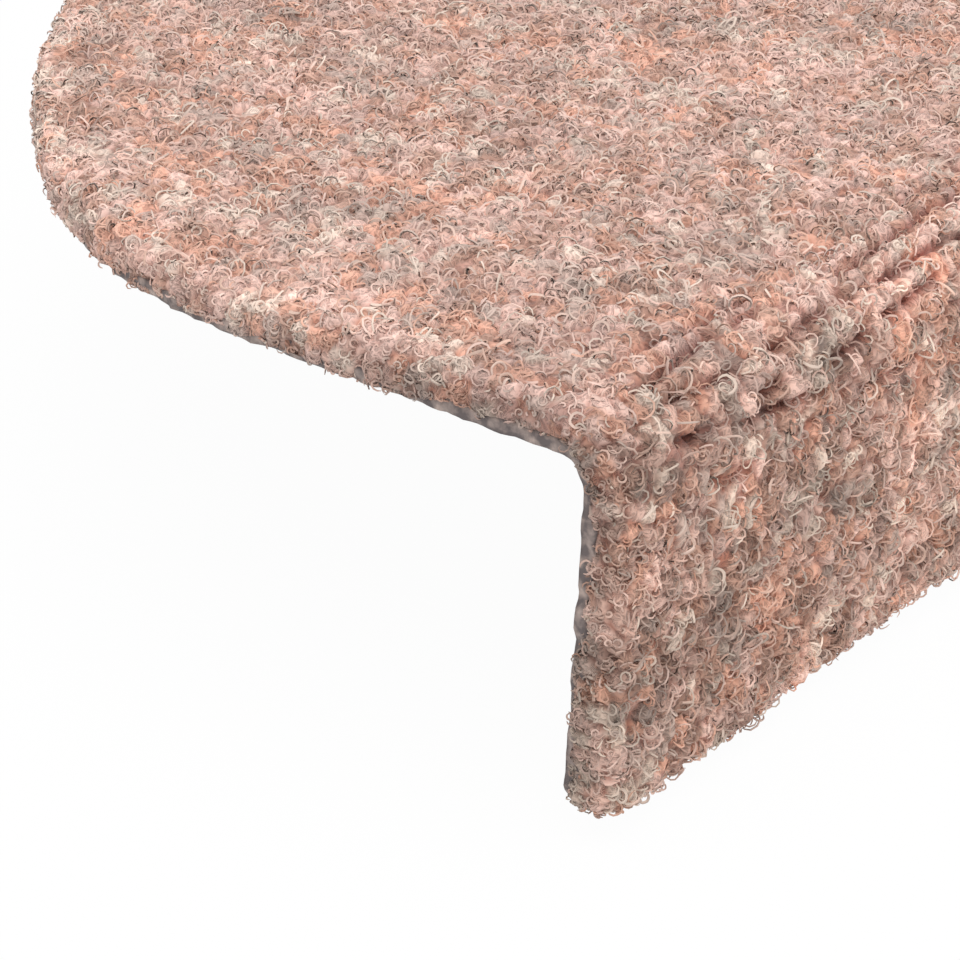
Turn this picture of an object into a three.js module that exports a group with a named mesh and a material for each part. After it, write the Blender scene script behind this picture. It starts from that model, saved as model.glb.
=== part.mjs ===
import * as THREE from 'three';

// Half-round stair tread mat: needle-punched felt on an anti-slip backing, hot-bent over the stair edge.
// Row frame: X along the stair edge, Y towards the riser behind, Z up.
// The origin is the stair edge at mid length: the tread's underside meets the line of the flap's inner face.

// Overall plan, in millimetres
const matLength = 560;
const treadDepth = 165.1; // flat tread, from the end of the bend to the back of the bow
const straightSide = 36.9; // straight run of each end, before the bowed back begins
const flapDrop = 32.9; // flat part of the flap, below the bend
const flapLean = THREE.MathUtils.degToRad(3.1); // how far the flap tucks in past square
const flapCornerRadius = 3;

// Build-up of the sheet
const backingThickness = 1.5;
const feltThickness = 3.4;
const shoulderRadius = 1.7; // rounded, matted rim of the felt
const bendRadius = 2.8; // inside of the bend

// Furrows that open in the felt where it is stretched round the bend.
// Their places are lengths along the felt's face, counted up the tread from the end of the bend.
const furrowCount = 7;
const furrowFirst = 4.5;
const furrowPitch = 3.3;
const furrowHalfWidth = 0.8;
const furrowDepth = 0.95;
const furrowWander = 0.55; // furthest that a furrow strays from its line
const wanderLengths = [46, 31]; // the two swings of that stray, along X
const dashLength = 19; // a furrow deepens and closes again over this length
const dashStagger = 2.4; // from one furrow's dashes to the next one's, in radians
const shallowShare = 0.35; // depth where a furrow has nearly closed, as a share of the full depth
const outerShare = 0.4; // depth of the outermost furrows, as a share of the middle ones
const furrowFade = 9; // furrows die out over this length at each end of the mat

// Fineness of the facets
const columnPitch = 7;
const bendStep = THREE.MathUtils.degToRad(12);
const bowSteps = 26;
const cornerSteps = 3;
const shoulderSteps = 3;
const leastSpacing = 0.45; // stations closer than this are merged

const sheetThickness = backingThickness + feltThickness;
const bendAngle = Math.PI / 2 + flapLean;
const faceRadius = bendRadius + sheetThickness;
const innerBendLength = bendRadius * bendAngle;
const faceBendLength = faceRadius * bendAngle;
const flapEdge = -(innerBendLength + flapDrop);
const halfLength = matLength / 2;
const bowDepth = treadDepth - straightSide;

// The sheet is laid out flat by x and run, the length along its underside, which is 0 at the end of the bend,
// positive over the tread and negative round the bend and down the flap. Height is measured off the underside.
function folded(x, run, height) {
  if (run >= 0) return new THREE.Vector3(x, bendRadius + run, height);
  const turn = Math.min(-run / bendRadius, bendAngle);
  const drop = -run - turn * bendRadius;
  const reach = bendRadius + height;
  return new THREE.Vector3(
    x,
    bendRadius - Math.sin(turn) * reach - Math.cos(turn) * drop,
    -bendRadius + Math.cos(turn) * reach - Math.sin(turn) * drop,
  );
}

// A length along the felt's face, as a run along the underside
function runFromFace(face) {
  if (face >= 0) return face;
  if (face > -faceBendLength) return (face * bendRadius) / faceRadius;
  return face + faceBendLength - innerBendLength;
}

function faceFromRun(run) {
  if (run >= 0) return run;
  if (run > -innerBendLength) return (run * faceRadius) / bendRadius;
  return run + innerBendLength - faceBendLength;
}

// Stations across the bend and its furrows, from the flap up to the tread, as lengths along the felt's face
function bendStations() {
  const furrows = [];
  for (let k = furrowCount - 1; k >= 0; k -= 1) {
    const place = furrowFirst - k * furrowPitch;
    furrows.push(place - furrowHalfWidth, place, place + furrowHalfWidth);
  }
  const stations = [...furrows];
  const arcs = Math.ceil(bendAngle / bendStep);
  for (let i = 0; i <= arcs; i += 1) {
    const face = (-faceBendLength * i) / arcs;
    if (stations.every((other) => Math.abs(other - face) > leastSpacing)) stations.push(face);
  }
  return stations.sort((a, b) => a - b);
}

// Right half of the outline, from the flap's lower edge up to the middle of the back.
// Each point keeps the direction that points out of the sheet there, for the rounded rim.
function halfOutline() {
  const points = [];
  for (let i = 0; i <= cornerSteps; i += 1) {
    const angle = (-Math.PI / 2) * (1 - i / cornerSteps);
    const outX = Math.cos(angle);
    const outRun = Math.sin(angle);
    points.push({
      x: halfLength - flapCornerRadius * (1 - outX),
      run: flapEdge + flapCornerRadius * (1 + outRun),
      outX,
      outRun,
    });
  }
  for (const face of bendStations()) {
    points.push({ x: halfLength, run: runFromFace(face), face, outX: 1, outRun: 0 });
  }
  for (let i = 0; i <= bowSteps; i += 1) {
    const angle = (Math.PI / 2) * (i / bowSteps);
    const normal = new THREE.Vector2(Math.cos(angle) / halfLength, Math.sin(angle) / bowDepth).normalize();
    points.push({
      x: i === bowSteps ? 0 : halfLength * Math.cos(angle),
      run: straightSide + bowDepth * Math.sin(angle),
      outX: i === bowSteps ? 0 : normal.x,
      outRun: normal.y,
    });
  }
  return points;
}

// How deep the furrow at this station is cut at x, and how far it has wandered from its line
function furrowAt(x, face) {
  const ends = THREE.MathUtils.smoothstep(halfLength - Math.abs(x), shoulderRadius, furrowFade);
  const row = (furrowFirst - face) / furrowPitch;
  const nearest = Math.round(row);
  const swings = wanderLengths.map((length, k) => Math.sin((2 * Math.PI * x) / length + (k + 1) * row));
  const shift = (ends * furrowWander * (swings[0] + swings[1])) / 2;
  const onValley = Math.abs(row - nearest) * furrowPitch < leastSpacing / 2;
  if (!onValley || nearest < 0 || nearest >= furrowCount) return { depth: 0, shift };
  const dash = (1 + Math.sin((2 * Math.PI * x) / dashLength + dashStagger * nearest)) / 2;
  const middle = Math.sin((Math.PI * (nearest + 0.5)) / furrowCount);
  const along = shallowShare + (1 - shallowShare) * dash;
  const across = outerShare + (1 - outerShare) * middle;
  return { depth: furrowDepth * ends * along * across, shift };
}

// Joins two rows of vertex numbers, which may differ in count, by a band of triangles.
// The first row lies on the left of someone who walks along them and sees the face from outside.
function stitch(triangles, left, right) {
  let i = 0;
  let j = 0;
  while (i < left.length - 1 || j < right.length - 1) {
    const stepLeft = (i + 1) / Math.max(left.length - 1, 1);
    const stepRight = (j + 1) / Math.max(right.length - 1, 1);
    if (i < left.length - 1 && (j === right.length - 1 || stepLeft <= stepRight)) {
      triangles.push(left[i], right[j], left[i + 1]);
      i += 1;
    } else {
      triangles.push(left[i], right[j], right[j + 1]);
      j += 1;
    }
  }
}

// One layer of the sheet, as a closed body. levels go from its lower face to its upper face, each with an
// inset from the outline and a height. With furrows, the upper face is a grid across the bend.
function layer(levels, withFurrows) {
  const half = halfOutline();
  const vertices = [];
  const triangles = [];
  const add = (x, run, height) => vertices.push(...folded(x, run, height).toArray()) / 3 - 1;

  // A ring at each level: right side from the flap up to the back, then left side down again
  const rings = levels.map(({ inset, height }) => {
    const place = (p, side) => add(side * (p.x - inset * p.outX), p.run - inset * p.outRun, height);
    const right = half.map((p) => place(p, 1));
    const left = half.slice(0, -1).map((p) => place(p, -1));
    left.push(right[right.length - 1]);
    return { right, left, loop: [...right, ...left.slice(0, -1).reverse()] };
  });
  for (let k = 0; k + 1 < rings.length; k += 1) {
    const lower = rings[k].loop;
    const upper = rings[k + 1].loop;
    stitch(triangles, [...upper, upper[0]], [...lower, lower[0]]);
  }

  // Rows of each face run from the left side to the right side
  const rows = (ring) => half.map((p, i) => [...new Set([ring.left[i], ring.right[i]])]);
  const lowerRows = rows(rings[0]);
  const upperRows = rows(rings[rings.length - 1]);
  if (withFurrows) {
    const top = levels[levels.length - 1];
    const columns = Math.round((matLength - 2 * top.inset) / columnPitch);
    half.forEach((p, i) => {
      if (p.face === undefined) return;
      const [leftEnd, rightEnd] = upperRows[i];
      const between = [];
      for (let c = 1; c < columns; c += 1) {
        const x = (c / columns - 0.5) * (matLength - 2 * top.inset);
        const furrow = furrowAt(x, p.face);
        between.push(add(x, runFromFace(faceFromRun(p.run) + furrow.shift), top.height - furrow.depth));
      }
      upperRows[i] = [leftEnd, ...between, rightEnd];
    });
  }
  for (let i = 0; i + 1 < half.length; i += 1) {
    stitch(triangles, upperRows[i + 1], upperRows[i]);
    stitch(triangles, lowerRows[i], lowerRows[i + 1]);
  }

  const geometry = new THREE.BufferGeometry();
  geometry.setAttribute('position', new THREE.Float32BufferAttribute(vertices, 3));
  geometry.setIndex(triangles);
  geometry.computeVertexNormals();
  return geometry;
}

// Felt: upright cut edge, then a rounded rim up to the walking face
function feltLevels() {
  const levels = [{ inset: 0, height: backingThickness }];
  for (let i = 0; i <= shoulderSteps; i += 1) {
    const angle = (Math.PI / 2) * (i / shoulderSteps);
    levels.push({
      inset: shoulderRadius * (1 - Math.cos(angle)),
      height: sheetThickness - shoulderRadius * (1 - Math.sin(angle)),
    });
  }
  return levels;
}

const feltFinish = new THREE.MeshStandardMaterial({ color: 0xb8978a, roughness: 0.95, metalness: 0 });
const feltPile = new THREE.Mesh(layer(feltLevels(), true), feltFinish);
feltPile.name = 'felt_pile';

// Backing: die-cut with the felt, so it has the same outline and square edges
const backingLevels = [
  { inset: 0, height: 0 },
  { inset: 0, height: backingThickness },
];
const backingFinish = new THREE.MeshStandardMaterial({ color: 0x5d5c61, roughness: 0.8, metalness: 0 });
const antiSlipBacking = new THREE.Mesh(layer(backingLevels, false), backingFinish);
antiSlipBacking.name = 'anti_slip_backing';

const mat = new THREE.Group();
mat.add(feltPile, antiSlipBacking);

export default mat;
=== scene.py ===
import itertools
import math

import bpy
import numpy as np
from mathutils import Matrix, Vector
from mathutils.geometry import delaunay_2d_cdt


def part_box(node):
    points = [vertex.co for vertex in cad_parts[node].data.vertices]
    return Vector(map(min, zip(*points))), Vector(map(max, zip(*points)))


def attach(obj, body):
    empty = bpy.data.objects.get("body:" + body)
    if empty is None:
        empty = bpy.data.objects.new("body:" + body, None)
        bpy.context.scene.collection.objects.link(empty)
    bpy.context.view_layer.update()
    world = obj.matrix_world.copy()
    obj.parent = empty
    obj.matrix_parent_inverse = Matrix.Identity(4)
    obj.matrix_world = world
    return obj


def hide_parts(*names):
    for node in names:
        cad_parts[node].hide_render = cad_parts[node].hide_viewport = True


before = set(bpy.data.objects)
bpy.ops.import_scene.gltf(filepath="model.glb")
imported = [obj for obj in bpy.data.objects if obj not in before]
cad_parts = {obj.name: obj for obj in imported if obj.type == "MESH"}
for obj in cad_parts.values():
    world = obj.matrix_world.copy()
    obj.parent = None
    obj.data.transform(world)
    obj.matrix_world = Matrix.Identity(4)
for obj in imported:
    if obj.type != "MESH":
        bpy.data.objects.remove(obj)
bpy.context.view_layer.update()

# Camera
# Close in on the left end of the bend, looking along the stair edge and down on the tread.
MM = 0.001
camera_place = Vector((-467.84, -141.30, 120.74)) * MM
camera_turn = math.radians(39.07)  # from +X towards +Y
camera_dip = math.radians(27.49)
picture_width = 960
focal_pixels = 3108.25
lens = bpy.data.cameras.new("camera")
lens.sensor_width = 36
lens.lens = lens.sensor_width * focal_pixels / picture_width
lens.clip_start = 0.01
lens.clip_end = 20
camera = bpy.data.objects.new("camera", lens)
camera.location = camera_place
camera.rotation_euler = (math.pi / 2 - camera_dip, 0, camera_turn - math.pi / 2)
bpy.context.scene.collection.objects.link(camera)
bpy.context.scene.camera = camera

# Anti-slip backing
# A dark rubbery layer, poured on the back of the felt and set with a fine pebble grain that grips the step.
# It is cut out together with the felt, so it shows as a thin dark strip, a little ragged, round the cut edge.
# Sizes are in mm. What the frame doesn't give is as in the part's source.
low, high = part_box("felt_pile")
half_length = high.x / MM
sheet_thickness = high.z / MM
backing_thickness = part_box("anti_slip_backing")[1].z / MM
bend_radius = 2.8
bend_angle = math.radians(93.1)
face_radius = bend_radius + sheet_thickness
face_bend = face_radius * bend_angle
tread_depth = high.y / MM - bend_radius
straight_side = 36.9
bow_depth = tread_depth - straight_side
flap_drop = 32.9
flap_edge = -(face_bend + flap_drop)
flap_corner = 3.0


def folded(across, face, height):
    """Points of the bent sheet, in mm. face is the length along the walking face, 0 where the bend ends,
    positive over the tread and negative round the bend; height is measured off the underside."""
    turn = np.clip(-face / face_radius, 0, bend_angle)
    drop = np.maximum(-face - face_bend, 0)
    reach = bend_radius + height
    y = bend_radius + np.maximum(face, 0) - np.sin(turn) * reach - np.cos(turn) * drop
    z = -bend_radius + np.cos(turn) * reach - np.sin(turn) * drop
    return np.stack([across + 0 * y, y, z], axis=-1)


def up_from(face):
    """Unit vectors that point up out of the walking face."""
    turn = np.clip(-face / face_radius, 0, bend_angle)
    return np.stack([0 * turn, -np.sin(turn), np.cos(turn)], axis=-1)


def out_from(edge):
    """Unit vectors that point out of the sheet at its cut edge, as outline gives it."""
    up = up_from(edge[1])
    return np.stack([edge[2], edge[3] * up[:, 2], -edge[3] * up[:, 1]], 1)


def smooth(value, start, end):
    """0 up to start, 1 from end on, and an even ramp between them."""
    t = np.clip((value - start) / (end - start), 0, 1)
    return t * t * (3 - 2 * t)


def spread(start, end, spacing):
    """Values from start to end, with steps that follow the function spacing."""
    fine = np.linspace(start, end, 4000)
    density = 1 / spacing(fine)
    places = np.concatenate([[0], np.cumsum((density[1:] + density[:-1]) / 2 * np.diff(fine))])
    count = int(places[-1]) + 1
    return np.interp(np.linspace(0, places[-1], count), places, fine)


def outline(spacing):
    """The cut edge laid flat: x, face and the outward direction, counter-clockwise from the flap's middle."""
    arc = np.linspace(-math.pi / 2, 0, 12)
    bow = np.linspace(0, math.pi / 2, 900)
    slope = np.stack([np.cos(bow) / half_length, np.sin(bow) / bow_depth])
    slope /= np.hypot(*slope)
    side = np.linspace(flap_edge + flap_corner, straight_side, 120)
    lower = np.linspace(0, half_length - flap_corner, 400)
    x = np.concatenate([lower, half_length - flap_corner * (1 - np.cos(arc)), 0 * side + half_length,
                        half_length * np.cos(bow)])
    face = np.concatenate([0 * lower + flap_edge, flap_edge + flap_corner * (1 + np.sin(arc)), side,
                           straight_side + bow_depth * np.sin(bow)])
    out_x = np.concatenate([0 * lower, np.cos(arc), 0 * side + 1, slope[0]])
    out_face = np.concatenate([0 * lower - 1, np.sin(arc), 0 * side, slope[1]])
    columns = np.stack([x, face, out_x, out_face])
    mirrored = columns[:, ::-1] * np.array([[-1], [1], [-1], [1]])
    columns = np.concatenate([columns, mirrored], axis=1)
    steps = np.hypot(np.diff(columns[0]), np.diff(columns[1]))
    places = np.concatenate([[0], np.cumsum(steps / spacing((columns[0, 1:] + columns[0, :-1]) / 2))])
    count = int(places[-1])
    return np.stack([np.interp(np.arange(count) * places[-1] / count, places, column) for column in columns])


def inside_by(x, face):
    """How far a flat point lies inside the cut edge, in mm."""
    side = half_length - np.abs(x)
    lower = face - flap_edge
    corner = flap_corner - np.hypot(np.minimum(side - flap_corner, 0), np.minimum(lower - flap_corner, 0))
    ahead = np.maximum(face - straight_side, 0)
    round_bow = np.hypot(x / half_length, ahead / bow_depth)
    steepness = np.hypot(x / half_length**2, ahead / bow_depth**2) / np.maximum(round_bow, 1e-6)
    bow = (1 - round_bow) / np.maximum(steepness, 1e-6)
    near_corner = (side < flap_corner) & (lower < flap_corner)
    square = np.minimum(np.minimum(side, lower), np.where(face > straight_side, bow, side))
    return np.where(near_corner, corner, square)


def lumps(points, size, seed):
    """Smooth random heights from -1 to 1 at points in mm, about size mm from one lump to the next."""
    cells = 64
    table = np.random.default_rng(seed).uniform(-1, 1, (cells, cells, cells))
    place = points / size
    corner = np.floor(place).astype(int)
    t = place - corner
    t = t * t * (3 - 2 * t)
    total = np.zeros(len(points))
    for step in itertools.product((0, 1), repeat=3):
        share = np.prod(np.where(step, t, 1 - t), axis=1)
        total += share * table[tuple(((corner + step) % cells).T)]
    return total


def filled(ring, inner):
    """Triangles that fill a flat ring, through the inner points. Numbers count the ring first."""
    points = np.concatenate([ring, inner])
    edges = [(i, (i + 1) % len(ring)) for i in range(len(ring))]
    found = delaunay_2d_cdt([Vector(p) for p in points.tolist()], edges, [], 1, 1e-7)
    return np.array([[found[3][i][0] for i in triangle] for triangle in found[2]])


def walls(lower, upper):
    """Triangles between two closed rings of vertex numbers with the same count."""
    after_lower = np.roll(lower, -1)
    after_upper = np.roll(upper, -1)
    return np.concatenate([np.stack([lower, after_lower, after_upper], 1),
                           np.stack([lower, after_upper, upper], 1)])


def piece(name, points, triangles, material):
    """A mesh object from points in mm, smooth shaded, that rides on the mat."""
    mesh = bpy.data.meshes.new(name)
    mesh.from_pydata((points * MM).tolist(), [], triangles.tolist())
    mesh.shade_smooth()
    mesh.materials.append(material)
    made = bpy.data.objects.new(name, mesh)
    bpy.context.scene.collection.objects.link(made)
    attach(made, "root")
    return made


def linear(colour):
    """A colour written as an sRGB hex value, in linear light."""
    parts = [int(colour[i:i + 2], 16) / 255 for i in (1, 3, 5)]
    return [p / 12.92 if p <= 0.04045 else ((p + 0.055) / 1.055) ** 2.4 for p in parts] + [1]


def add_node(tree, kind, inputs=None, **settings):
    """Adds a node. settings are its own, and inputs gives each named or numbered socket a value or a link."""
    made = tree.nodes.new("ShaderNode" + kind)
    for name, value in settings.items():
        setattr(made, name, value)
    for socket, value in (inputs or {}).items():
        if isinstance(value, bpy.types.NodeSocket):
            tree.links.new(value, made.inputs[socket])
        else:
            made.inputs[socket].default_value = value
    return made


def new_material(name):
    """An empty node material, with its tree and its output node."""
    material = bpy.data.materials.new(name)
    material.use_nodes = True
    material.node_tree.nodes.clear()
    return material, material.node_tree, add_node(material.node_tree, "OutputMaterial")


def per_metre(size):
    """The scale that gives a pattern of this size in mm."""
    return 1 / (size * MM)


# Latex-like rubber: a matt warm grey, dark in the shade of the felt, with paler fibre ends that the needles
# pushed through it.
backing_finish, tree, output = new_material("poured_latex_backing")
place = add_node(tree, "TexCoord").outputs["Object"]
grain = add_node(tree, "TexVoronoi", {"Vector": place, "Scale": per_metre(0.9)}, feature="SMOOTH_F1")
mottle = add_node(tree, "TexNoise", {"Vector": place, "Scale": per_metre(1.4), "Detail": 4.0})
specks = add_node(tree, "ValToRGB", {"Fac": mottle.outputs["Fac"]})
specks.color_ramp.elements[0].position = 0.42
specks.color_ramp.elements[0].color = linear("#6a605f")
specks.color_ramp.elements[1].position = 0.72
specks.color_ramp.elements[1].color = linear("#bdaaa1")
pebbles = add_node(tree, "Bump", {"Height": grain.outputs["Distance"], "Strength": 0.5,
                                  "Distance": 0.25 * MM})
rubber = add_node(tree, "BsdfPrincipled", {"Base Color": specks.outputs["Color"], "Roughness": 0.78,
                                           "Normal": pebbles.outputs["Normal"]})
tree.links.new(rubber.outputs["BSDF"], output.inputs["Surface"])

rim_coarsens = (-half_length + 90, -half_length + 130)  # along X, from fine to coarse steps of the edge
backing_edge = outline(lambda x: 0.7 + 0.5 * smooth(x, *rim_coarsens))
backing_levels = np.linspace(0, backing_thickness, 4)
outward = out_from(backing_edge)
rings = []
for height in backing_levels:
    ring = folded(backing_edge[0], backing_edge[1], height)
    ragged = 0.3 * lumps(ring, 2.6, 11) + 0.3 * lumps(ring, 1.1, 12) - 0.4
    rings.append(ring + ragged[:, None] * outward)
grid_x, grid_face = np.meshgrid(spread(-half_length, half_length, lambda v: 0 * v + 12),
                                np.concatenate([spread(flap_edge, -face_bend, lambda v: 0 * v + 8),
                                                spread(-face_bend, 0, lambda v: 0 * v + 0.9)[1:-1],
                                                spread(0, tread_depth, lambda v: 0 * v + 12)]))
backing_inner = np.stack([grid_x.ravel(), grid_face.ravel()], 1)
backing_inner = backing_inner[inside_by(*backing_inner.T) > 1.0]
cover = filled(backing_edge[:2].T, backing_inner)
edge_count = backing_edge.shape[1]
lower_inner = folded(backing_inner[:, 0], backing_inner[:, 1], 0)
upper_inner = folded(backing_inner[:, 0], backing_inner[:, 1], backing_thickness)
points = np.concatenate([*rings, lower_inner, upper_inner])
lower_number = np.concatenate([np.arange(edge_count), len(backing_levels) * edge_count
                               + np.arange(len(backing_inner))])
upper_number = np.concatenate([np.arange(edge_count) + (len(backing_levels) - 1) * edge_count,
                               len(backing_levels) * edge_count + len(backing_inner)
                               + np.arange(len(backing_inner))])
ring_numbers = [np.arange(edge_count) + k * edge_count for k in range(len(backing_levels))]
triangles = np.concatenate([walls(a, b) for a, b in zip(ring_numbers, ring_numbers[1:])]
                           + [lower_number[cover][:, ::-1], upper_number[cover]])
backing = piece("backing_sheet", points, triangles, backing_finish)
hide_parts("anti_slip_backing")

# Needle felt
# Curly dyed polypropylene fibres, punched with barbed needles into a dense mat and pressed over the bend
# with heat. Round the bend the felt is stretched, so it parts there in short wandering furrows.
furrow_count = 7
furrow_first = 4.5  # where the first one lies on the tread, as a length along the face
furrow_pitch = 3.3  # from each to the next one, down over the bend
furrow_fade = 8.0  # they have died out over this length at each end of the mat
shoulder = 1.7  # radius of the felt's rounded rim
fine_step = 0.48  # mesh spacing in the near corner, in mm
coarse_step = 2.2  # and past it

# The near corner is seen from close by. It ends at these places in mm along the stair edge, each for one
# place on the face.
close_face = (-46, 0, 32, 112)
close_end = (-222, -215, -165, -232)


def beyond_close(x, face):
    """How far in mm a flat point lies past the end of the near corner."""
    return x - np.interp(face, close_face, close_end)


def rim_step(x):
    """Spacing in mm round the cut edge."""
    return 0.55 + 1.05 * smooth(x, *rim_coarsens)


def face_step(face, widest):
    """Mesh spacing in mm over the felt's face: finest across the furrows."""
    furrows = smooth(face, -19, -17) * (1 - smooth(face, 6, 9))
    return widest + (0.42 - widest) * furrows


def valleys(x, face):
    """How far each flat point lies in a furrow, from 0 to 1."""
    deep = np.zeros(len(x))
    for k in range(furrow_count):
        line = np.stack([x, 0 * x, 0 * x + 41.0 * k], 1)
        stray = 1.1 * lumps(line, 13, 21) + 0.4 * lumps(line, 3.5, 22)
        across = face - (furrow_first - k * furrow_pitch) - stray
        opened = smooth(lumps(line, 5.5, 23) + 0.6 * lumps(line, 2.4, 24), -0.35, 0.35)
        middle = math.sin(math.pi * (k + 0.8) / (furrow_count + 1.6))
        deep = np.maximum(deep, opened * (0.4 + 0.6 * middle) * np.exp(-(across / 0.6) ** 2))
    return deep * smooth(half_length - np.abs(x), 1.5, furrow_fade)


tuft_size = 1.9
tuft_cells = (int(2 * half_length / tuft_size) + 9, int((tread_depth - flap_edge) / tuft_size) + 9)
rng = np.random.default_rng(31)
tuft_x, tuft_face = np.meshgrid(np.arange(tuft_cells[0]) - 4.0, np.arange(tuft_cells[1]) - 4.0, indexing="ij")
tuft_x = -half_length + tuft_size * (tuft_x + rng.uniform(0, 1, tuft_cells))
tuft_face = flap_edge + tuft_size * (tuft_face + rng.uniform(0, 1, tuft_cells))
ridge = furrow_first - furrow_pitch * (np.round((furrow_first - tuft_face) / furrow_pitch - 0.5) + 0.5)
in_rows = (tuft_face < furrow_first + 1) & (tuft_face > furrow_first - furrow_pitch * furrow_count)
tuft_face = np.where(in_rows, ridge + rng.uniform(-0.9, 0.9, tuft_cells), tuft_face)
tuft_gain = rng.uniform(0.4, 1.2, tuft_cells)


def nearest_tuft(x, face):
    """The number of the nearest tuft, and how far in it a flat point lies: 0 at its rim, up to 1 inside.
    The tufts' rims are bent by a slow noise."""
    flat = np.stack([x, face, 0 * x], 1)
    x, face = x + 0.6 * lumps(flat, 1.8, 37), face + 0.6 * lumps(flat, 1.8, 38)
    cell = [np.floor((x + half_length) / tuft_size).astype(int) + 4,
            np.floor((face - flap_edge) / tuft_size).astype(int) + 4]
    first = np.full(len(x), np.inf)
    second = first.copy()
    number = np.zeros(len(x), int)
    for step in itertools.product((-2, -1, 0, 1, 2), repeat=2):
        i = np.clip(cell[0] + step[0], 0, tuft_cells[0] - 1)
        j = np.clip(cell[1] + step[1], 0, tuft_cells[1] - 1)
        away = np.hypot(x - tuft_x[i, j], face - tuft_face[i, j])
        closer = away < first
        second = np.where(closer, first, np.minimum(second, away))
        number = np.where(closer, i * tuft_cells[1] + j, number)
        first = np.where(closer, away, first)
    return number, np.clip((second - first) / (0.55 * tuft_size), 0, 1)


def relief(points, x, face):
    """Height in mm that the felt's face stands off its plain form: tufts, hollows and furrows."""
    number, depth_in = nearest_tuft(x, face)
    pillow = tuft_gain.ravel()[number] * (0.95 * smooth(depth_in, -0.15, 0.95) - 0.6)
    pillow *= 1 - 0.75 * smooth(beyond_close(x, face), 0, 5)
    uneven = 0.3 * lumps(points, 1.5, 32) + 0.32 * lumps(points, 8, 33)
    return pillow + uneven - 1.25 * valleys(x, face)


edge = outline(rim_step)
edge_count = edge.shape[1]
edge_out = out_from(edge)
edge_up = up_from(edge[1])
rings = []
flats = []
# How far the lip of the felt droops over the backing: it is drawn up where the tread meets the bend.
pulled = smooth(edge[1], -7, 3) * (1 - smooth(edge[1], 12, 18))
droop = 0.85 + 0.3 * smooth(edge[1], 12, 20) - 0.75 * pulled
droop = np.minimum(droop + 0.42 * lumps(folded(edge[0], edge[1], 0), 7, 36), backing_thickness - 0.05)
# Steps of the cut edge, from under the felt up to its face: inset, height, and how far each faces up.
lip = [(0.5, backing_thickness, 0.0), (0.15, backing_thickness - droop, 0.0),
       (-0.1, backing_thickness + 0.2, 0.0), (-0.1, backing_thickness + 1.0, 0.0)]
rounded = [(shoulder * (1 - math.cos(a)), sheet_thickness - shoulder * (1 - math.sin(a)), math.sin(a))
           for a in np.radians([0, 22, 45, 67, 90])]
unrolled = shoulder
above = None
for inset, level, up in reversed(lip + rounded):
    ring = folded(edge[0] - inset * edge[2], edge[1] - inset * edge[3], level)
    if above is not None:
        unrolled = unrolled - np.linalg.norm(ring - above, axis=1)
    above = ring
    x = edge[0] - unrolled * edge[2]
    face = edge[1] - unrolled * edge[3]
    direction = (1 - up**2) ** 0.5 * edge_out + up * edge_up
    rings.insert(0, ring + relief(ring, x, face)[:, None] * direction)
    flats.insert(0, np.stack([x, face], 1))
under_edge = (edge[:2] - lip[0][0] * edge[2:]).T
inner = []
for step, is_close in ((fine_step, True), (coarse_step, False)):
    grid_x, grid_face = np.meshgrid(spread(-half_length, half_length, lambda v: 0 * v + step),
                                    spread(flap_edge, tread_depth, lambda v: face_step(v, step)))
    grid = np.stack([grid_x.ravel(), grid_face.ravel()], 1)
    inner.append(grid[(beyond_close(*grid.T) < 5) == is_close])
inner = np.concatenate(inner)
inner += np.random.default_rng(35).uniform(-0.11, 0.11, inner.shape)
inner = inner[inside_by(*inner.T) > shoulder + 0.4]
inner_points = folded(inner[:, 0], inner[:, 1], sheet_thickness)
inner_points += relief(inner_points, *inner.T)[:, None] * up_from(inner[:, 1])
top_cover = filled(flats[-1], inner)
inset_under = backing_inner[inside_by(*backing_inner.T) > 2.0]
under_inner = folded(inset_under[:, 0], inset_under[:, 1], backing_thickness)
under_cover = filled(under_edge, inset_under)
points = np.concatenate([*rings, inner_points, under_inner])
felt_flat = np.concatenate([*flats, inner, inset_under])
ring_numbers = [np.arange(edge_count) + k * edge_count for k in range(len(rings))]
top_number = np.concatenate([ring_numbers[-1], len(rings) * edge_count + np.arange(len(inner))])
under_number = np.concatenate([ring_numbers[0], len(rings) * edge_count + len(inner)
                               + np.arange(len(inset_under))])
triangles = np.concatenate([walls(a, b) for a, b in zip(ring_numbers, ring_numbers[1:])]
                           + [top_number[top_cover], under_number[under_cover][:, ::-1]])
under_count = len(under_cover)


def fibre_density(x, face):
    """Share of full density: every fibre at the near corner, thinning out along the mat."""
    beyond = beyond_close(x, face)
    return np.where(beyond < 4, 1.0, np.exp(-(beyond - 4) / 12)) + 0.004


def edge_painted_light_and_shade(x, face):
    """How the cut edge changes the felt's shade: painted shade darkens the lip where it droops over the
    backing, and painted light pales the rounded rim of the tread, which faces partly away from the lamp."""
    depth = inside_by(x, face)
    lip_in_painted_shade = 1 - smooth(depth, -2.2, 0.4)
    rim_in_painted_light = (1 - smooth(depth, 1, 6)) * smooth(face, 8, 18)
    return (1 - (0.3 - 0.15 * smooth(face, 25, 60)) * lip_in_painted_shade + 0.18 * rim_in_painted_light)[:, None]


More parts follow.
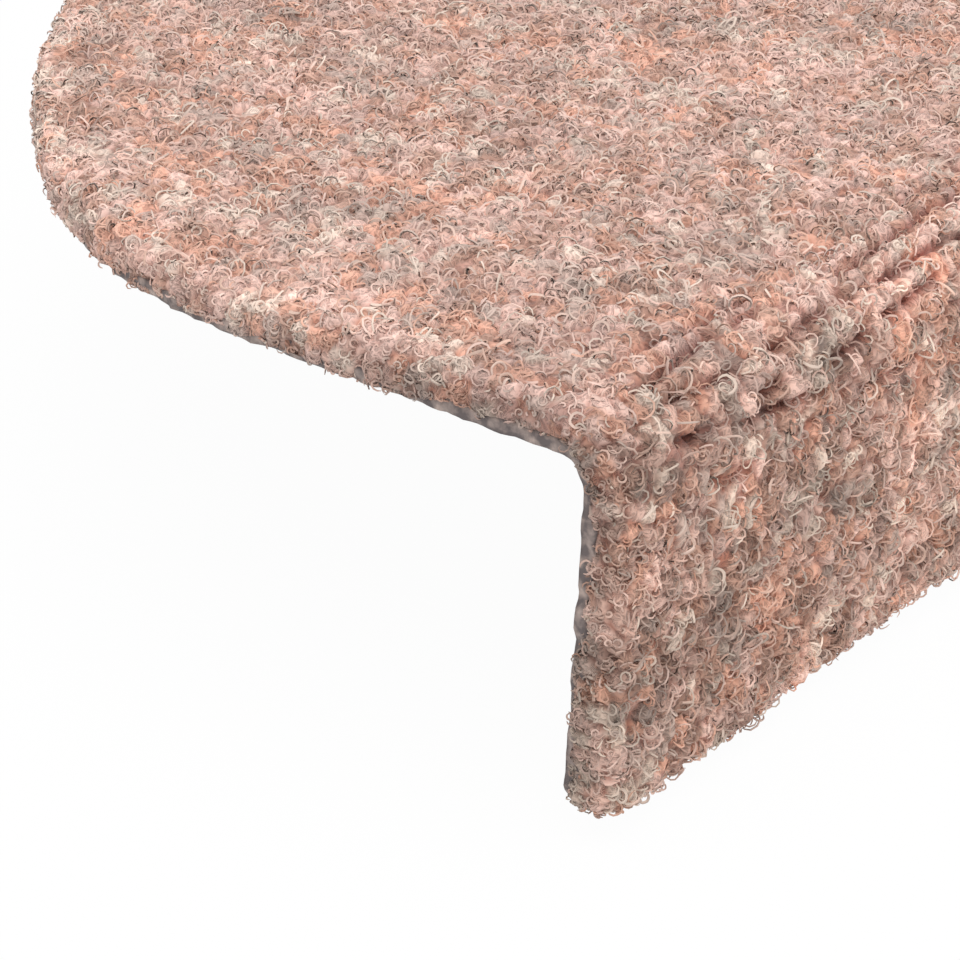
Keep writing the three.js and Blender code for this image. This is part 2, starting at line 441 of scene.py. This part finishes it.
fibre_names = ["rose_beige", "pale_pink", "terracotta", "warm_brown", "cream", "stone_grey"]
fibre_colours = ["#deb8a8", "#ebc9bc", "#dea285", "#b98f7a", "#ecdfce", "#c0b1a6"]
fibre_shares = [0.24, 0.24, 0.17, 0.14, 0.11, 0.10]
patch_share = 0.35  # tufts that take the colour of their patch, three tufts wide, and not one of their own
blended = 0.42  # how far the tufts' colours are drawn together, because each holds some fibres of every dye
far_cast = np.array([1.075, 0.995, 0.995])  # the warm shade that the standing fibres give the near corner
tuft_colour = rng.choice(len(fibre_shares), tuft_cells, p=fibre_shares)
patch_colour = rng.choice(len(fibre_shares), (tuft_cells[0] // 3 + 1, tuft_cells[1] // 3 + 1), p=fibre_shares)
patched = np.repeat(np.repeat(patch_colour, 3, axis=0), 3, axis=1)[:tuft_cells[0], :tuft_cells[1]]
tuft_colour = np.where(rng.uniform(size=tuft_cells) < patch_share, patched, tuft_colour).ravel()
dyes = np.array([linear(c)[:3] for c in fibre_colours])
blend = dyes.T @ fibre_shares
palest = (dyes[fibre_names.index("cream")] + dyes[fibre_names.index("pale_pink")]) / 2
tuft_place = np.stack([tuft_x.ravel(), tuft_face.ravel(), 0 * tuft_x.ravel()], 1)
# The shade of each tuft differs at random. Off the tread the tufts are also paler and differ more: painted
# light, as the flap and bend face away from the lamp. The tread is a touch cooler, and each end of the flap
# is darker.
middle_light = 1.02
tuft_tone_and_painted_light = rng.uniform(0.84, 1.2, len(tuft_colour)) + 0.12 * lumps(tuft_place, 8, 39)
tuft_tone_and_painted_light = (tuft_tone_and_painted_light + 0.14 * lumps(tuft_place, 4, 40))[:, None]
on_tread = smooth(tuft_place[:, 1], -12, 2)[:, None]
on_bend = smooth(tuft_place[:, 1], -26, -14)[:, None] * (1 - smooth(tuft_place[:, 1], -2, 7))[:, None]
tuft_tone_and_painted_light = middle_light + (tuft_tone_and_painted_light - middle_light) * (1.75 - 0.75 * on_tread)
tuft_tone_and_painted_light = tuft_tone_and_painted_light * (1.11 + 0.08 * on_bend - 0.085 * on_tread)
tuft_tone_and_painted_light = tuft_tone_and_painted_light * (1 + on_tread * np.array([-0.015, 0.0, 0.035]))
dark_end = (1 - smooth(half_length - np.abs(tuft_place[:, 0]), 4, 48)) * (1 - smooth(tuft_place[:, 1], 2, 24))
tuft_tone_and_painted_light *= 1.03 - 0.11 * dark_end[:, None]
mixed_dyes = blended * blend + (1 - blended) * dyes
tuft_tints = mixed_dyes[tuft_colour] * tuft_tone_and_painted_light
number, depth_in = nearest_tuft(*felt_flat.T)
# Painted shade: the felt is darker in the gaps between tufts, and more so off the tread.
painted_gap_shade = (1 - smooth(depth_in, 0, 0.5)) * (1.35 - 0.35 * smooth(felt_flat[:, 1], -10, 6))
tint = tuft_tints[number] * (1 - painted_gap_shade[:, None] * np.array([0.36, 0.46, 0.48]))
# Painted shade of the standing fibres: the felt under them is a little darker and warmer. Then the cut edge's
# painted lip shade and rim light.
tint *= np.array([0.95, 0.91, 0.90]) * edge_painted_light_and_shade(*felt_flat.T)
close_by = 1 - smooth(beyond_close(*felt_flat.T), 0, 5)[:, None]
# Painted shade in the furrows, for the felt and, through its tint, for the cells past the near corner.
painted_furrow_shade = 1 - valleys(*felt_flat.T)[:, None] * np.array([0.62, 0.8, 0.82])

# Matt and deep: pale curls of fibre over gaps and furrows darkened with painted shade, each tuft in the
# colour of its own fibres, with painted light off the tread. Past the near corner a pattern of cells stands
# in for the tufts and for the shade of their fibres, with painted shade at each cell's rim.
felt_finish, tree, output = new_material("needle_punched_polypropylene")
place = add_node(tree, "TexCoord").outputs["Object"]
# The tints that the mesh carries hold the painted shade and light worked out above.
tuft_tint = add_node(tree, "Attribute", attribute_name="tuft_tint")
painted_furrow_shade_tint = add_node(tree, "Attribute", attribute_name="painted_furrow_shade_tint").outputs["Color"]
drift = add_node(tree, "TexNoise", {"Vector": place, "Scale": per_metre(1.8)}).outputs["Color"]
drift = add_node(tree, "VectorMath", {0: drift, "Scale": 1.5 * MM}, operation="SCALE").outputs["Vector"]
drifted = add_node(tree, "VectorMath", {0: place, 1: drift}, operation="ADD").outputs["Vector"]
cells = add_node(tree, "TexVoronoi", {"Vector": drifted, "Scale": per_metre(tuft_size)})
chance = add_node(tree, "SeparateColor", {0: cells.outputs["Color"]})
patches = add_node(tree, "TexVoronoi", {"Vector": drifted, "Scale": per_metre(3 * tuft_size)})
patch_chance = add_node(tree, "SeparateColor", {0: patches.outputs["Color"]})
in_patch = add_node(tree, "Math", {0: chance.outputs[2], 1: patch_share}, operation="LESS_THAN").outputs[0]
choice = add_node(tree, "Mix", {0: in_patch, 2: chance.outputs[0], 3: patch_chance.outputs[0]}).outputs[0]
dye = add_node(tree, "ValToRGB", {"Fac": choice})
dye.color_ramp.interpolation = "CONSTANT"
for share, colour in zip(np.cumsum([0] + fibre_shares[:-1]), mixed_dyes * far_cast):
    stop = dye.color_ramp.elements.new(share) if share > 0 else dye.color_ramp.elements[0]
    stop.color = [*colour, 1]
dye.color_ramp.elements.remove(dye.color_ramp.elements[-1])
slow = add_node(tree, "TexNoise", {"Vector": place, "Scale": per_metre(7)}).outputs["Fac"]
slow = add_node(tree, "MapRange", {"Value": slow, "From Min": 0.25, "From Max": 0.75, "To Min": 0.86,
                                   "To Max": 1.14}).outputs["Result"]
light = add_node(tree, "MapRange", {"Value": chance.outputs[1], "To Min": 0.68, "To Max": 0.98})
light = light.outputs["Result"]
light = add_node(tree, "Math", {0: light, 1: slow}, operation="MULTIPLY").outputs[0]
# Painted shade: each cell is darker towards its rim, where the gaps between tufts are.
painted_cell_gap_shade = add_node(tree, "MapRange", {"Value": cells.outputs["Distance"], "From Min": 0.4, "From Max": 0.8,
                                  "To Min": 1.0, "To Max": 0.6}).outputs["Result"]
shade = add_node(tree, "Math", {0: light, 1: painted_cell_gap_shade}, operation="MULTIPLY").outputs[0]
cell_tint = add_node(tree, "VectorMath", {0: dye.outputs["Color"], "Scale": shade}, operation="SCALE")
tufts = add_node(tree, "Mix", {0: tuft_tint.outputs["Alpha"], 6: cell_tint.outputs["Vector"],
                               7: tuft_tint.outputs["Color"]}, data_type="RGBA").outputs[2]
tufts = add_node(tree, "VectorMath", {0: tufts, 1: painted_furrow_shade_tint}, operation="MULTIPLY").outputs["Vector"]
# Single fibres on the face of the felt are thin bands, folded out of three soft noises. They are drawn wider
# than real fibres, so that they show.
strands = []
for size, turns, shift in ((2.6, 9.0, 0.0), (1.9, 8.0, 0.37), (1.3, 7.0, 0.71)):
    moved = add_node(tree, "VectorMath", {0: place, 1: (shift, shift, shift)}, operation="ADD")
    hills = add_node(tree, "TexNoise", {"Vector": moved.outputs["Vector"], "Scale": per_metre(size),
                                        "Detail": 0.6})
    bands = add_node(tree, "Math", {0: hills.outputs["Fac"], 1: turns}, operation="MULTIPLY").outputs[0]
    folded_bands = add_node(tree, "Math", {0: bands, 1: 0.5}, operation="PINGPONG").outputs[0]
    strands.append(add_node(tree, "MapRange", {"Value": folded_bands, "From Min": 0.05, "From Max": 0.3,
                                               "To Min": 1.0, "To Max": 0.0},
                            interpolation_type="SMOOTHSTEP").outputs["Result"])
most = add_node(tree, "Math", {0: strands[0], 1: strands[1]}, operation="MAXIMUM").outputs[0]
most = add_node(tree, "Math", {0: most, 1: strands[2]}, operation="MAXIMUM").outputs[0]
lightness = add_node(tree, "MapRange", {"Value": most, "To Min": 0.82, "To Max": 1.12}).outputs["Result"]
shaded = add_node(tree, "VectorMath", {0: tufts, "Scale": lightness}, operation="SCALE").outputs["Vector"]
raised = add_node(tree, "Bump", {"Height": most, "Strength": 0.8, "Distance": 0.14 * MM})
pile = add_node(tree, "BsdfPrincipled", {"Base Color": shaded, "Roughness": 0.95, "Sheen Weight": 0.1,
                                         "Normal": raised.outputs["Normal"]})
tree.links.new(pile.outputs["BSDF"], output.inputs["Surface"])
felt = piece("felt_surface", points, triangles, felt_finish)
for name, colours in (("tuft_tint", [tint, close_by]), ("painted_furrow_shade_tint", [painted_furrow_shade, 0 * close_by + 1])):
    tints = felt.data.color_attributes.new(name, "FLOAT_COLOR", "POINT")
    tints.data.foreach_set("color", np.concatenate(colours, axis=1).ravel())
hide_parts("felt_pile")

# Curly fibres
# Crimped staple fibres, dyed in the melt and blended before needling, so that each tuft is mostly one colour.
# They stand off the felt as hooks and loops, 0.7 to 2.2 mm across and smaller at the cut edge. They are drawn
# about 0.2 mm thick, and a few 0.27 mm, which is thicker than real ones, so that they show.
rng = np.random.default_rng(51)
shell = triangles[2 * edge_count:len(triangles) - under_count]
corners = points[shell]
spans = np.cross(corners[:, 1] - corners[:, 0], corners[:, 2] - corners[:, 0])
areas = np.linalg.norm(spans, axis=1) / 2
flat_middle = felt_flat[shell].mean(1)
number, depth_in = nearest_tuft(*flat_middle.T)
furrowed = valleys(*flat_middle.T)
cut_edge = smooth(inside_by(*flat_middle.T), -1.5, 3)
# Chance of a root: more at the cut edge and inside a tuft, and less in a furrow.
weight = areas * fibre_density(*flat_middle.T) * (1 - 0.92 * furrowed) * (0.35 + depth_in)
weight *= 2.0 - cut_edge
weight /= weight.sum()


def curls(count, steps, thickness, sizes, sweeps, tilts, risen, pale):
    """Curls rooted in the felt, each part of a ring that tightens as it goes: the points of their three-sided
    tubes, by curl, step and side, with the way each point faces, each curl's dye and each step's tint."""
    chosen = rng.choice(len(shell), count, p=weight)
    roots = (corners[chosen] * rng.dirichlet((1, 1, 1), count)[:, :, None]).sum(1)
    outward = spans[chosen] / (2 * areas[chosen][:, None])
    up = outward + rng.normal(0, 0.25, (count, 3))
    up /= np.linalg.norm(up, axis=1)[:, None]
    along = np.array([1.0, 0, 0]) - up * up[:, :1]
    along /= np.linalg.norm(along, axis=1)[:, None]
    turn = rng.uniform(0, 2 * math.pi, count)[:, None]
    tilt = np.radians(rng.uniform(*tilts, count) * (0.3 + 0.7 * cut_edge[chosen]))[:, None]
    first = np.cos(turn) * along + np.sin(turn) * np.cross(up, along)
    second = np.cos(tilt) * np.cross(up, first) + np.sin(tilt) * up
    size = sizes[0] + (sizes[1] - sizes[0]) * rng.uniform(size=(count, 1)) ** 1.6
    size *= 0.52 + 0.48 * cut_edge[chosen][:, None]
    t = np.linspace(-1, 1, steps)[None, :]
    angle = math.pi / 2 + rng.normal(0, 0.7, (count, 1))
    angle = angle + np.radians(rng.uniform(*sweeps, (count, 1))) * t / 2
    reach = size * (1 + rng.uniform(-0.3, 0.3, (count, 1)) * t) * (1 + rng.normal(0, 0.02, (count, steps)))
    lift = rng.uniform(*risen, (count, 1)) * cut_edge[chosen][:, None] * size * np.sin(tilt)
    middle = roots + (lift + 0.14) * up - 0.4 * size * np.cos(tilt) * second
    axle = np.cross(first, second)
    wound = size * (rng.uniform(-0.45, 0.45, (count, 1)) * t + rng.normal(0, 0.02, (count, steps)))
    spine = middle[:, None] + reach[:, :, None] * (np.cos(angle)[:, :, None] * first[:, None]
                                                   + np.sin(angle)[:, :, None] * second[:, None])
    spine += wound[:, :, None] * axle[:, None]
    ahead = np.gradient(spine, axis=1)
    ahead /= np.linalg.norm(ahead, axis=2, keepdims=True)
    above = np.cross(axle[:, None], ahead)
    above /= np.linalg.norm(above, axis=2, keepdims=True)
    beside = np.cross(ahead, above)
    radius = thickness / 2 * rng.uniform(0.8, 1.2, (count, 1)) * (1 - 0.65 * t**4)
    sides = np.radians([90, 210, 330])[None, None, :, None]
    round_it = np.cos(sides) * beside[:, :, None] + np.sin(sides) * above[:, :, None]
    tubes = spine[:, :, None] + radius[:, :, None, None] * round_it
    lean = smooth(outward[:, 2], -0.9, -0.2)[:, None, None, None]
    facing = lean * outward[:, None, None] + 0.5 * round_it
    own = rng.uniform(size=count) < 0.75
    dye = np.where(own, tuft_colour[number[chosen]], rng.choice(len(fibre_shares), count, p=fibre_shares))
    # Painted light and shade in each curl's tint: its tuft's painted light off the tread, painted shade in a
    # furrow and at the lip, painted light on the tread's rim, and painted shade at both ends, where it goes
    # into the felt.
    light = (0.3 + 0.7 * tuft_tone_and_painted_light[number[chosen]]) * rng.uniform(0.97, 1.1, (count, 1))
    tint = (1 - pale) * mixed_dyes[dye] * light + pale * palest
    tint *= 1 - furrowed[chosen][:, None] * np.array([0.55, 0.7, 0.7])
    tint *= edge_painted_light_and_shade(*flat_middle[chosen].T)
    return tubes, facing, dye, tint[:, None] * (0.8 + 0.2 * (1 - t**2))[:, :, None]


def tube_faces(steps):
    """Triangles of one closed tube of three sides."""
    last = 3 * steps - 3
    faces = [[0, 1, 2], [last, last + 2, last + 1]]
    for i, (a, b) in itertools.product(range(0, last, 3), ((0, 1), (1, 2), (2, 0))):
        faces += [[i + a, i + b + 3, i + b], [i + a, i + a + 3, i + b + 3]]
    return np.array(faces)


# Hooks, small curls and a few thick pale loops, each two or three fibres that stuck together
kinds = [curls(13400, steps=6, thickness=0.2, sizes=(0.35, 0.95), sweeps=(140, 250), tilts=(10, 75),
               risen=(-0.4, 0.3), pale=0.0),
         curls(6000, steps=9, thickness=0.2, sizes=(0.45, 1.1), sweeps=(270, 360), tilts=(20, 80),
               risen=(-0.1, 0.4), pale=0.15),
         curls(600, steps=14, thickness=0.27, sizes=(0.65, 1.05), sweeps=(320, 360), tilts=(30, 75),
               risen=(0.1, 0.4), pale=0.45)]

# Spin-dyed polypropylene: the colour runs right through, and a soft waxy gloss pales the top of each curl.
# Painted shade darkens each curl's tint at both ends.
fibre_finish, tree, output = new_material("spin_dyed_polypropylene_fibre")
fibre_tint = add_node(tree, "Attribute", attribute_name="fibre_tint").outputs["Color"]
fibre = add_node(tree, "BsdfPrincipled", {"Base Color": fibre_tint, "Roughness": 0.7, "IOR": 1.49})
tree.links.new(fibre.outputs["BSDF"], output.inputs["Surface"])
for k, name in enumerate(fibre_names):
    vertices = []
    faces = []
    shades = []
    normals = []
    start = 0
    for tubes, facing, dye, tint in kinds:
        same = dye == k
        steps = tubes.shape[1]
        firsts = start + np.arange(same.sum()) * 3 * steps
        vertices.append(tubes[same].reshape(-1, 3))
        faces.append((firsts[:, None, None] + tube_faces(steps)).reshape(-1, 3))
        shades.append(np.repeat(tint[same].reshape(-1, 3), 3, axis=0))
        normals.append(facing[same].reshape(-1, 3))
        start += len(vertices[-1])
    made = piece("fibres_" + name, np.concatenate(vertices), np.concatenate(faces), fibre_finish)
    normals = np.concatenate(normals)
    normals /= np.linalg.norm(normals, axis=1)[:, None]
    made.data.normals_split_custom_set_from_vertices(normals.tolist())
    shades = np.concatenate(shades)
    tints = made.data.color_attributes.new("fibre_tint", "FLOAT_COLOR", "POINT")
    tints.data.foreach_set("color", np.concatenate([shades, np.ones((len(shades), 1))], axis=1).ravel())
    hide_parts("felt_pile")


# Studio
# A plain white floor under the flap, an even white surround, and one broad soft lamp overhead.
def white_rays(tree):
    """1 for the rays that see a plain white background: from the camera, mirrored or let through."""
    rays = add_node(tree, "LightPath").outputs
    total = add_node(tree, "Math", {0: rays["Is Camera Ray"], 1: rays["Is Glossy Ray"]}).outputs[0]
    return add_node(tree, "Math", {0: total, 1: rays["Is Transmission Ray"]}, use_clamp=True).outputs[0]


world = bpy.data.worlds.new("studio")
world.use_nodes = True
bpy.context.scene.world = world
tree = world.node_tree
tree.nodes.clear()
surround = add_node(tree, "Background", {"Color": (1, 1, 1, 1), "Strength": 0.56})
shown = add_node(tree, "Background", {"Color": (1, 1, 1, 1), "Strength": 1.0})
mixed = add_node(tree, "MixShader", {0: white_rays(tree), 1: surround.outputs[0],
                                     2: shown.outputs[0]})
add_node(tree, "OutputWorld", {"Surface": mixed.outputs[0]})

floor_finish, tree, output = new_material("white_floor")
matt = add_node(tree, "BsdfDiffuse", {"Color": (0.9, 0.9, 0.9, 1)})
glow = add_node(tree, "Emission", {"Color": (1, 1, 1, 1), "Strength": 1.0})
faint = add_node(tree, "MixShader", {0: 0.97, 1: matt.outputs[0], 2: glow.outputs[0]})
seen = add_node(tree, "MixShader", {0: white_rays(tree), 1: matt.outputs[0], 2: faint.outputs[0]})
tree.links.new(seen.outputs[0], output.inputs["Surface"])
floor_mesh = bpy.data.meshes.new("floor")
floor_size = 6.0
floor_height = low.z - 0.0025  # clear of the loose fibres under the flap
floor_mesh.from_pydata([(x * floor_size, y * floor_size, floor_height) for x, y in
                        ((-1, -1), (1, -1), (1, 1), (-1, 1))], [], [(0, 1, 2, 3)])
floor_mesh.materials.append(floor_finish)
floor = bpy.data.objects.new("floor", floor_mesh)
bpy.context.scene.collection.objects.link(floor)

lamp_data = bpy.data.lights.new("overhead_softbox", "AREA")
lamp_data.shape = "DISK"
lamp_data.size = 1.8
lamp_data.energy = 17
lamp = bpy.data.objects.new("overhead_softbox", lamp_data)
lamp.location = (-0.42, -0.29, 1.26)
lamp.rotation_euler = (Vector((-0.2, 0.05, 0)) - lamp.location).to_track_quat("-Z", "Y").to_euler()
bpy.context.scene.collection.objects.link(lamp)

bpy.context.scene.view_settings.view_transform = "Standard"
